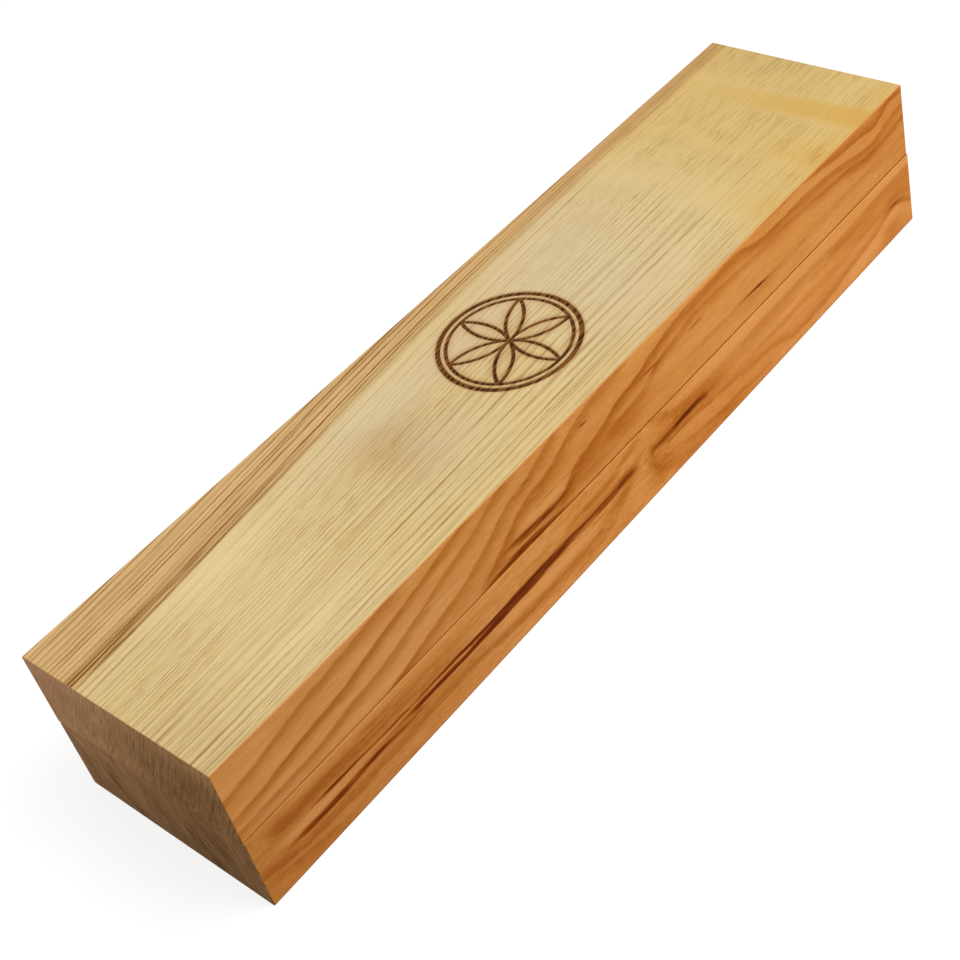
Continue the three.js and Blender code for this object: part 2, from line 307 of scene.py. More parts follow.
class Wood:
    """One solid block of oiled ash. Its figure is a single field in space, so that it runs on over
    every edge and into the cavity.

    The rings are sheets along X that lean by lean = (share of Y, share of Z) and wander by drift
    along X, by less of it towards the front. s is the distance across them. Long-grain faces show
    them as fine lines, the side faces as broad bands and the ends as darker end grain."""

    def __init__(self, name, lean, drift, drift_at_front, counts):
        self.finish, self.shader, x, y, z = new_finish(name)
        self.x, self.y, self.z, self.seed = x, y, z, lean[1]
        blend = y.rise(-32.0, 22.0) * (1.0 - drift_at_front) + drift_at_front
        slow = (cloud(x / 80.0, y / 18.0, z / 18.0, 1.0, seed=lean[1]) - 0.5) * 0.9
        quick = (cloud(x / 7.0, y / 2.0, z / 2.0, 2.0, seed=lean[1] + 7.0) - 0.5) * 0.46
        self.s = s = y * lean[0] + z * lean[1] - x.along(drift) * blend + slow + quick
        self.rings = growth_rings(x, s, counts, 5.0 + lean[1])
        self.fibres = cloud(x / 9.0, y / 0.24, z / 0.24, 2.0, 0.6)
        dashes = cloud(x / 3.4, y / 0.30, z / 0.30, 1.0, seed=20.0).rise(0.60, 0.70)
        self.pores = dashes * cloud(x / 20.0, s / 1.6, 4.0, 1.0).rise(0.44, 0.60)

        # Hairs are long, but short where the rings are close, and give way to clusters of short
        # ribs towards the right end.
        close = s.rise(12.0, 18.0) * s.rise(35.0, 32.0)
        right = x.rise(20.0, 90.0)
        long_hairs = cloud(x / 48.0, s / 0.42, z / 40.0, 2.0, 0.65).rise(0.46, 0.64)
        long_hairs = long_hairs * (1.0 - close * 0.5 - right * 0.45)
        short_hairs = cloud(x / 9.0, s / 0.40, z / 40.0, 2.0, 0.6, seed=27.0).rise(0.50, 0.64)
        clusters = cloud(x / 11.0, s / 4.5, 6.0, 2.0, seed=44.0).rise(0.40, 0.66) * right
        waves = (s + cloud(x / 8.0, s / 2.0, 3.0, 1.0, seed=28.0) * 2.4) * 4.6
        ribs = waves.maths("SINE").rise(-0.3, 1.0)
        self.hairs = long_hairs + short_hairs * close * 0.6 + ribs * clusters * 0.60

    def long_grain(self, fade, curl):
        """Cream wood with fine dark lines. The lines give way to short open pores by fade, and curl
        gives their strength along the case, for the grain dips where the wood is curled."""
        tone = cloud(self.x / 70.0, self.s / 5.0, 2.0, 2.0, seed=3.0).rise(0.3, 0.7)
        lines = self.rings * (1.0 - fade * 0.82) * 0.98 + self.hairs * (1.0 - fade * 0.25) * 0.50
        lines = (lines + self.pores * (0.30 - fade * 0.16)) * self.x.along(curl)
        self.fine = (lines + (self.fibres - 0.5) * 0.50).held()
        dim = tuple(0.965 * part for part in sap_light[:3]) + (1.0,)
        return self.fine.paint(tone.paint(dim, sap_light), sap_dark)

    def bands(self, face, ground, stripes, patches, fray, comb):
        """Darkness of a side face: the ground along X, the rings as stripes, and patches, all frayed
        along the grain by comb. fray gives the strength of the fine streaks and specks along X."""
        x, z = self.x, self.z
        sway = (cloud(x / 30.0, z / 8.0, 1.0, 1.0, seed=11.0 + self.seed) - 0.5) * 0.7
        sway = sway + (cloud(x / 5.0, z / 1.2, 5.0, 3.0, 0.6, seed=2.0) - 0.5) * 1.1 + comb * 1.3
        level, dark = z + sway, x.along(ground)
        for shape in stripes:
            dark = stripe(dark, x, level, *shape)
        dark = with_patches(dark, x, level, patches)
        mottle = cloud(x / 15.0, z / 2.6, 3.0, 3.0, 0.6, seed=5.0) - 0.5
        specks = cloud(x / 2.8, 6.0, z / 0.80, 2.0, 0.65, seed=71.0) - 0.5
        fine = (comb * 0.42 + specks * 0.46) * x.along(fray)
        return (dark + mottle * 0.42 + fine + self.pores * 0.16) * face

    def end_grain(self, light, dark, front_light, front_dark, fine, heart_share, leaves):
        """Rings across the end as dark and pale lines, open pores as dots, darker leaves of wood as
        patches across the rings, and a slow change from the rear to the front, where the oil has
        soaked in further. The wood is paler towards the split and the top arris."""
        x, y, z, s = self.x, self.y, self.z, self.s
        lines = cloud(s / 0.55, y / 7.0, z / 7.0, 3.0, 0.6, seed=14.0) - 0.5
        pale = cloud(s / 0.34, y / 9.0, z / 9.0, 1.0, seed=33.0).rise(0.58, 0.74)
        blots = cloud(x / 60.0, y / 7.0, z / 9.0, 3.0, seed=17.0) - 0.5
        dots = cells(x / 0.5, y / 0.42, z / 0.42, seed=6.0).rise(0.30, 0.12)
        soaked = (y.rise(34.0, -20.0) * 0.75 + z.rise(56.0, 34.0) * 0.20 + blots * 0.7).held()
        share = self.rings * 0.55 + lines * fine + 0.42 - pale * (y.hump(0.0, 14.0) * 0.5 + 0.4)
        share = with_patches(share, s, z, leaves)
        paler = z.rise(47.0, 54.0) * 0.22 + z.hump(26.5, 6.5) * y.rise(-25.0, 5.0) * 0.12
        share = (share + dots * 0.24 - paler).held()
        end = share.paint(soaked.paint(light, front_light), soaked.paint(dark, front_dark))
        return (heart_share * 0.30).paint(end, heart_end)


def face_masks(wood, front, rear):
    """Shares of the front face, the rear face and the ends, each blending in over the arrises. The
    end walls of the cavities count as ends, down to the split."""
    y, z, reach = wood.y, wood.z, wood.x.size()
    on_front = y.rise(front + 0.45, front + 0.12)
    on_rear = y.rise(rear - 0.35, rear - 0.05)
    outside = reach.rise(case_half_length - 0.45, case_half_length - 0.15)
    inside = y.rise(cavity_front - 1.0, cavity_front - 0.6) * y.rise(cavity_rear + 1.0, cavity_rear + 0.6)
    inside = inside * z.rise(cavity_floor - 0.4, cavity_floor - 0.1)
    inside = inside * z.rise(cavity_ceiling + 0.4, cavity_ceiling + 0.1)
    inside = inside * (z - split_height).size().rise(0.10, 0.40)
    wall = reach.rise(cavity_half_length - 0.5, cavity_half_length - 0.2)
    wall = wall * reach.rise(cavity_half_length + 0.5, cavity_half_length + 0.2) * inside
    return on_front, on_rear, (outside + wall).held()


def side_faces(wood, on_front, on_rear, figure, rear_arch):
    """Amber side faces with broad soft bands and the streaks that stain the front. On the rear face
    the rings rise and fall again along rear_arch."""
    ground, stripes, patches, stains, fray = figure
    x, z = wood.x, wood.z
    comb = cloud(x / 9.0, wood.y / 0.7, z / 0.75, 2.0, 0.6, seed=9.0) - 0.5
    front_bands = wood.bands(on_front, ground, stripes, patches, fray, comb)
    swell = cloud(x / 45.0, 3.0, z / 11.0, 2.0, seed=60.0 + wood.seed) - 0.5
    level = z - x.along(rear_arch) + swell * 7.0 + comb * 1.2
    strength = cloud(x / 60.0, 9.0, level / 6.0, 1.0, seed=21.0) * 1.1 + 0.42
    rear_bands = (level.along(rear_rings) * strength + comb * 0.5) * on_rear
    band = (front_bands + rear_bands).held()

    warmth = cloud(x / 40.0, z / 7.0, 8.0, 2.0, seed=50.0).rise(0.3, 0.7)
    to_right = x.rise(-150.0, 60.0)
    light = to_right.paint(warmth.paint(*side_light_left), warmth.paint(*side_light_right))
    dark = to_right.paint(side_dark_left, side_dark_right)
    side = band.hump(0.64, 0.36).paint(band.paint(light, dark), side_middle, "MULTIPLY")

    frayed = cloud(x / 16.0, 2.0, z / 0.85, 2.0, 0.6, seed=31.0).rise(0.34, 0.58) * 0.66 + 0.54
    level = z + (cloud(x / 12.0, 1.0, z / 2.0, 1.0, seed=40.0) - 0.5) * 0.9 + comb * 0.5
    stained = 0.0
    for shape in stains:
        stained = stripe(stained, x, level, *shape)
    stained = stained.held() * frayed * on_front
    edged = stained.rise(0.0, 0.50).paint(side, stain_edge)
    return stained.rise(0.40, 0.95).paint(edged, stain_core)


def heart_line_darkness(s, heart, column):
    """Darkness across the heartwood's thin lines, from one column of heart_lines."""
    return s.along([spot for line in heart_lines for spot in (
        (heart + line[0] - 0.50, 0.0), (heart + line[0] - 0.10, line[column]),
        (heart + line[0] + 0.12, line[column] * 0.9), (heart + line[0] + 0.48, 0.0))])


def long_faces(wood, heart, fade, curl, tones):
    """Colour of the long-grain faces, and the share of heartwood.

    Sapwood is cream. Past heart, in millimetres across the rings, the wood is tan, with dark rings of
    its own. The step between them is sharp at the left end and soft further on."""
    x, y, s = wood.x, wood.y, wood.s
    skin = wood.long_grain(fade, curl)
    on_top = wood.z.rise(50.0, 53.0)
    for amount, colour, way, shape in tones:
        skin = (shape(x, y) * on_top * amount).held().paint(skin, colour, way)
    soft = x.rise(-125.0, -40.0)
    heart_share = ((s + (wood.fibres - 0.5) * 1.2 - heart) / (soft * 2.4 + 0.5)).rise(-1.0, 1.0)
    heart_light = x.rise(-60.0, 150.0).paint(heart_left, heart_right)
    skin = heart_share.paint(skin, (wood.fine * 0.62).held().paint(heart_light, heart_grain))

    threads = cloud(x / 140.0, s / 0.42, 2.0, 1.0, seed=81.0).rise(0.42, 0.60) * 0.8 + 0.26
    rings = s.hump(heart + 2.4, 2.1) * x.rise(-40.0, -165.0) * threads
    rings = rings + s.hump(heart + 0.4, 0.4) * (0.5 - soft * 0.4)
    at_left, fainter = x.rise(-85.0, -120.0), 1.0 - x.rise(-5.0, 45.0) * 0.5
    rings = rings + heart_line_darkness(s, heart, 1) * at_left * 0.8
    rings = rings + heart_line_darkness(s, heart, 2) * (1.0 - at_left) * fainter
    ragged = wood.hairs * 0.4 + cloud(x / 22.0, s / 0.9, 2.0, 2.0).rise(0.28, 0.60) * 0.85 + 0.12
    return (rings * ragged).held().paint(skin, heart_ring), heart_share


def block_finish(name, lean, drift, drift_at_front, counts, front, rear, figure, rear_arch, heart,
                 curl, tones, end_colours, end_contrast, end_leaves, carved):
    """The finish of one half of the case, from its figure."""
    wood = Wood(name, lean, drift, drift_at_front, counts)
    x, y, z, shader = wood.x, wood.y, wood.z, wood.shader
    on_front, on_rear, on_end = face_masks(wood, front, rear)
    fade = x.rise(30.0, 110.0) if carved else 0.0
    skin, heart_share = long_faces(wood, heart, fade, curl, tones)
    side = side_faces(wood, on_front, on_rear, figure, rear_arch)
    surface = (on_front + on_rear).held().paint(skin, side)
    surface = on_end.paint(surface, wood.end_grain(*end_colours, end_contrast, heart_share, end_leaves))

    # The arrises of the split are a little lighter on the ends. On the front they and the narrow
    # ledge between the two halves carry painted shade, the shade of the gap between the halves, and
    # the arris that the case stands on is painted darker.
    from_split = (z - split_height).size()
    surface = (from_split.rise(0.55, 0.25) * on_end * 0.16).paint(surface, split_end)
    # Painted shade: the split's arrises and ledge on the front are painted dark brown for the shade in the
    # gap between the halves.
    split_shade = from_split.rise(0.15, 0.06) * y.rise(front + 0.9, front + 0.5) * (1.0 - on_end)
    surface = split_shade.paint(surface, x.rise(-120.0, -10.0).paint(split_shade_left, split_shade_right))
    # Painted darker towards the bottom, over the lowest 1.3 mm of the case, along the arris it stands on.
    surface = (z.rise(1.3, 0.2) * 0.35).paint(surface, foot_arris)
    rough = 0.58 - wood.fine * 0.06 + (wood.fibres - 0.5) * 0.10 + on_end * 0.14
    if carved:
        rubbed = z.rise(lid_top - 0.5, lid_top - 0.1) * y.rise(front + 0.7, front + 0.1)
        surface = (rubbed * 0.4).paint(surface, top_arris)
        burn, scorch = read(shader, "burn"), read(shader, "scorch")
        stripes = cloud(x / 60.0, wood.s / 0.62, 3.0, 1.0, seed=90.0).rise(0.41, 0.57)
        grain = (stripes * 0.75 + wood.rings * 0.35 + (wood.fibres - 0.5) * 0.7).held()
        surface = (scorch * 0.3).paint(surface, scorch_brown, "MULTIPLY")
        surface = burn.paint(surface, grain.paint(burn_brown, burn_black))
        rough = rough + burn * 0.2
    feed(shader.inputs["Base Color"], surface)
    feed(shader.inputs["Roughness"], rough)
    shader.inputs["IOR"].default_value = 1.46
    shader.inputs["Specular IOR Level"].default_value = 0.04
    height = wood.fibres * 0.35 + (1.0 - wood.pores) * 0.35 + (1.0 - wood.rings) * 0.3
    relief(shader, height * (1.0 - on_end * 0.4), 0.035)
    return wood.finish


# How far the rings have wandered across the lid and the base at each place along the case.
lid_drift = [
    (-161, 0), (-140, 1.2), (-120, 2.6), (-100, 4.2), (-80, 5.9), (-60, 7.5), (-40, 9.2), (-20, 10.8),
    (0, 12.0), (20, 13.0), (40, 13.6), (60, 14.1), (80, 14.5), (110, 14.7), (161, 15.1)]
base_drift = [(-161, 0), (-110, 1.6), (-60, 4.2), (0, 5.4), (55, 7.8), (110, 8.6), (161, 11.0)]
# Ring number against millimetres across the rings: close rings in the middle of the lid.
lid_counts = [
    (-22, 0), (0, 10.5), (14, 17), (19, 21), (31, 34), (34, 35.4), (40, 37.5), (46, 42), (68, 55)]
base_counts = [(-48, 0), (-20, 15), (0, 30), (20, 41), (42, 56)]
# Darkness across the rings of the rear faces: each ring darkens upwards and ends sharply.
ring_places = (-44, -36, -30.5, -24, -19, -12.5, -7.5, -1, 5.5, 10, 16.5, 23, 28, 34.5, 39, 46, 52, 58)
rear_rings = [spot for place in ring_places for spot in (
    (place - 3.4, 0.24), (place - 1.1, 0.52), (place, 0.70), (place + 0.8, 0.20))]
lid_arch = [
    (-175, 18), (-130, 14), (-90, 17), (-50, 27), (-10, 38), (25, 42), (60, 37), (95, 25), (130, 17),
    (175, 13)]
base_arch = [
    (-175, 12), (-140, 5), (-100, 0), (-60, 1), (-25, 7), (10, 17), (45, 23), (80, 21), (120, 12),
    (175, 5)]
# Thin dark lines of the tan heartwood: (millimetres past its boundary, darkness at the left end,
# darkness from a third of the way along).
heart_lines = [
    (0.4, 0.55, 0.55), (1.6, 0.75, 0.75), (2.7, 0.95, 0.95), (4.1, 0.3, 0.3), (5.6, 0.25, 1.0),
    (7.2, 0.2, 0.9), (8.4, 0.9, 0.9), (9.5, 0.8, 0), (10.9, 0.65, 0.8), (12.4, 0.45, 0.3),
    (14.4, 0.7, 0.7), (16.7, 0.8, 0.8), (17.9, 0.9, 0.9)]
# Strength of the top's fine lines along the case: they fade where the grain dips in the curl.
lid_curl = [
    (-161, 1), (50, 1), (72, 1.15), (80, 0.55), (88, 0.5), (94, 1.25), (103, 1.25), (108, 0.75),
    (114, 1.25), (128, 1.2), (133, 0.45), (141, 0.4), (146, 1.1), (161, 1.0)]
base_curl = [(-161, 1), (161, 1)]
# Strength of the fine streaks of the front faces along the case.
lid_fray = [(-161, 0.8), (-80, 0.8), (-40, 1.2), (-10, 1.2), (30, 1.1), (80, 0.85), (161, 0.85)]
base_fray = [(-161, 1.3), (-90, 1.5), (-40, 2.0), (10, 2.0), (40, 1.4), (80, 0.85), (161, 0.85)]
# Darker leaves of wood in the ends: (millimetres across the rings, height, half width, half height,
# amount).
lid_leaves = [(-1, 38, 7, 9, 0.24), (30, 42, 6, 14, -0.14), (44, 44, 2.2, 12, 0.2)]
base_leaves = [
    (15, 12, 2.4, 8, 0.42), (-3.7, 15, 2.4, 9, 0.42), (-16.5, 11, 2.4, 8, 0.38), (-26.5, 15, 3, 8, 0.34),
    (25, 14, 2.2, 7, 0.22), (6, 14, 3, 9, -0.12), (-10, 14, 3, 9, -0.12)]

# The front of the lid. Each ring is (millimetres it fades over above and below, points along it), and
# a point is (x, height, darkness). The rings climb to the right and crest past the middle.
lid_ground = [
    (-161, 0.12), (-120, 0.08), (-90, 0.07), (-60, 0.18), (-20, 0.20), (20, 0.22), (60, 0.14),
    (110, 0.16), (161, 0.30)]
lid_stripes = [
    (0.7, 3.2, [(-175, 42.5, 0.56), (-161, 44, 0.56), (-150, 45.5, 0.58), (-140, 47.8, 0.62),
     (-130, 50, 0.62), (-120, 51.2, 0.58), (-110, 52.6, 0.56), (-100, 54, 0.56), (-92, 55.2, 0.45),
     (-85, 56.5, 0)]),
    (0.5, 2.8, [(-175, 35, 0.5), (-161, 36, 0.56), (-150, 37, 0.62), (-140, 38.8, 0.78),
     (-130, 40.2, 0.78), (-120, 41.6, 0.78), (-110, 43.8, 0.74), (-100, 46.4, 0.74), (-90, 48.6, 0.65),
     (-80, 51, 0.63), (-72, 53.2, 0.56), (-65, 55, 0.5), (-60, 56.5, 0)]),
    (0.6, 2.8, [(-175, 31.2, 0.5), (-161, 31.2, 0.5), (-150, 31.6, 0.56), (-140, 32, 0.56),
     (-130, 32.6, 0.56), (-120, 34.6, 0.63), (-110, 35.9, 0.58), (-100, 37.8, 0.58), (-90, 40.6, 0.56),
     (-80, 43.8, 0.5), (-70, 46.8, 0.5), (-62, 49, 0.47), (-55, 52.5, 0.47), (-48, 55, 0.45),
     (-42, 57, 0)]),
    (0.6, 3.6, [(-112, 26, 0.56), (-104, 27.6, 0.67), (-98, 29, 0.85), (-90, 31.2, 0.69),
     (-80, 33.8, 0.58), (-70, 36.4, 0.5), (-65, 38.6, 0.5), (-60, 41, 0.5), (-55, 43.8, 0.5),
     (-50, 46.4, 0.5), (-40, 48.9, 0.5), (-34, 51.5, 0.5), (-28, 54, 0.47), (-22, 56.5, 0)]),
    (0.6, 4.2, [(-68, 28.5, 0), (-62, 31, 0.45), (-56, 34.5, 0.54), (-50, 38.5, 0.58), (-45, 41.5, 0.56),
     (-40, 43.2, 0.62), (-35, 43.8, 0.62), (-30, 45.3, 0.62), (-25, 47.4, 0.62), (-20, 49.9, 0.56),
     (-15, 51.8, 0.5), (-8, 53.6, 0.45), (0, 54.6, 0.45), (12, 56, 0)]),
    (0.5, 3.4, [(-31, 30.5, 0), (-28, 32, 0.39), (-25, 34.5, 0.56), (-22, 37, 0.56), (-18, 38.7, 0.56),
     (-12, 40, 0.56), (-5, 42, 0.65), (0, 44.3, 0.74), (10, 46, 0.76), (20, 49.2, 0.72), (30, 51.7, 0.62),
     (40, 52.6, 0.56), (50, 53, 0.54), (60, 53.4, 0.58), (66, 53, 0.58), (72, 51.2, 0.65), (80, 50, 0.69),
     (90, 49.8, 0.63), (100, 49.8, 0.56), (110, 49.2, 0.58), (120, 48, 0.54), (130, 46, 0.54),
     (136, 44.9, 0.54), (140, 44.5, 0.52), (145, 45.4, 0.5), (150, 46.6, 0.45), (156, 47.6, 0.42),
     (161, 48.5, 0.38), (175, 49, 0.38)]),
    (0.6, 2.6, [(8, 38, 0), (15, 41.5, 0.22), (20, 43.8, 0.69), (25, 45, 0.54), (30, 45.9, 0.45),
     (40, 47.9, 0.38), (50, 48.1, 0.34), (60, 47.4, 0.30), (70, 46.6, 0.31), (80, 46.2, 0.29),
     (90, 46.4, 0.33), (100, 46, 0.31), (110, 45, 0.42), (120, 44, 0.42), (130, 42.6, 0.5),
     (136, 41.4, 0.5), (140, 41.2, 0.48), (150, 42, 0.44), (161, 43.5, 0.44), (175, 44, 0.42)]),
    (0.6, 2.5, [(-10, 36, 0), (-4, 37.5, 0.34), (0, 38.2, 0.45), (8, 39, 0.45), (14, 39.6, 0.28),
     (20, 40, 0)]),
    (3.0, 4.0, [(-28, 33, 0), (-22, 34.5, 0.33), (-15, 35, 0.33), (-8, 34.5, 0.25), (0, 34.5, 0.4),
     (6, 34, 0.34), (14, 33.5, 0)]),
    (1.2, 3.0, [(8, 35, 0), (15, 35.2, 0.13), (30, 36, 0.07), (45, 35.4, 0.18), (60, 35, 0.22),
     (75, 34.4, 0.27), (90, 35, 0.25), (110, 36, 0.18), (161, 35, 0.16)]),
    (3.2, 0.5, [(98, 55.5, 0), (106, 54, 0.39), (115, 52.6, 0.58), (124, 51.6, 0.58), (130, 51.4, 0.56),
     (136, 50.6, 0.62), (142, 49.6, 0.62), (147, 50.8, 0.56), (152, 53, 0.56), (156, 53.3, 0.56),
     (161, 52.7, 0.45), (175, 52.5, 0.45)]),
    (1.0, 0.6, [(70, 56, 0), (80, 55, 0.45), (95, 54.8, 0.5), (106, 55.2, 0)]),
    (1.0, 1.6, [(-175, 56, 0.34), (-161, 55, 0.34), (-150, 54.8, 0.29), (-140, 55.6, 0)]),
    (1.5, 1.3, [(-50, 36, 0), (-44, 35.8, -0.2), (-34, 35.6, -0.26), (-26, 36, 0)]),
    (3.0, 2.2, [(-14, 50, 0), (-2, 50.5, -0.12), (15, 52.5, -0.16), (40, 54.2, -0.14), (60, 55, 0)]),
    (2.5, 2.5, [(-85, 29, 0), (-64, 30.5, 0.18), (-40, 31, 0.30), (-16, 31, 0.30), (-4, 31, 0)]),
]
lid_patches = [
    (-33, 30.4, 7, 1.2, 0.22), (-17, 35.5, 4, 3.0, 0.09), (140, 46.5, 12, 1.5, -0.1),
    (50, 50.5, 28, 3.0, 0.07), (95, 47.8, 25, 1.6, 0.04), (-4, 37.5, 12, 4.0, 0.15)]
lid_stains = [
    (0.75, 1, [(-57, 33, 0), (-50, 33, 0.52), (-44, 32.8, 0.78), (-38, 32.5, 0.81), (-32, 32.3, 0.65),
     (-27, 32.9, 0.78), (-24, 33.8, 0.45), (-20, 34.6, 0)]),
    (0.5, 0.62, [(-52, 31.6, 0), (-46, 31.6, 0.39), (-38, 31.4, 0.39), (-30, 31.2, 0.13),
     (-26, 31.2, 0)]),
    (0.88, 1.5, [(-67, 27.8, 0), (-61, 28, 0.52), (-55, 28.3, 0.65), (-50, 28.5, 0.72), (-45, 28.5, 1.04),
     (-41, 28.4, 1.37), (-37, 28.1, 0.91), (-32, 27.9, 0.52), (-24, 27.8, 0.16), (-10, 27.7, 0)]),
    (0.38, 0.38, [(-57, 29.6, 0), (-50, 29.6, 0.42), (-46, 29.5, 0.33), (-41, 29.3, 0)]),
    (0.38, 0.38, [(-47, 37.2, 0), (-38, 37.2, 0.16), (-33, 37.2, 0.26), (-29, 37.4, 0.05),
     (-24, 37.6, 0.16), (-20, 38, 0)]),
    (0.5, 0.5, [(57, 35.4, 0), (64, 35.4, 0.26), (69, 35.3, 0.52), (73, 35, 1.04), (76, 34.7, 0.55),
     (82, 34.6, 0.31), (89, 34.4, 0)]),
    (0.44, 0.44, [(-18, 49, 0), (-15.5, 48.6, 0.45), (-14, 48.3, 0.59), (-11.5, 48.4, 0)]),
    (0.5, 0.5, [(9, 44.2, 0), (13, 44.4, 0.39), (17, 44.2, 0.55), (20, 44.1, 0.33), (25, 44, 0)]),
    (0.56, 0.56, [(35, 44, 0), (40, 43.9, 0.3), (42, 44, 0.3), (47, 43.8, 0)]),
    (0.38, 0.38, [(91, 34.8, 0), (97, 34.8, 0.18), (100, 34.5, 0.22), (103, 34.3, 0)]),
    (0.62, 0.62, [(-44, 48.4, 0), (-40, 48.3, 0.29), (-36, 48, 0)]),
]

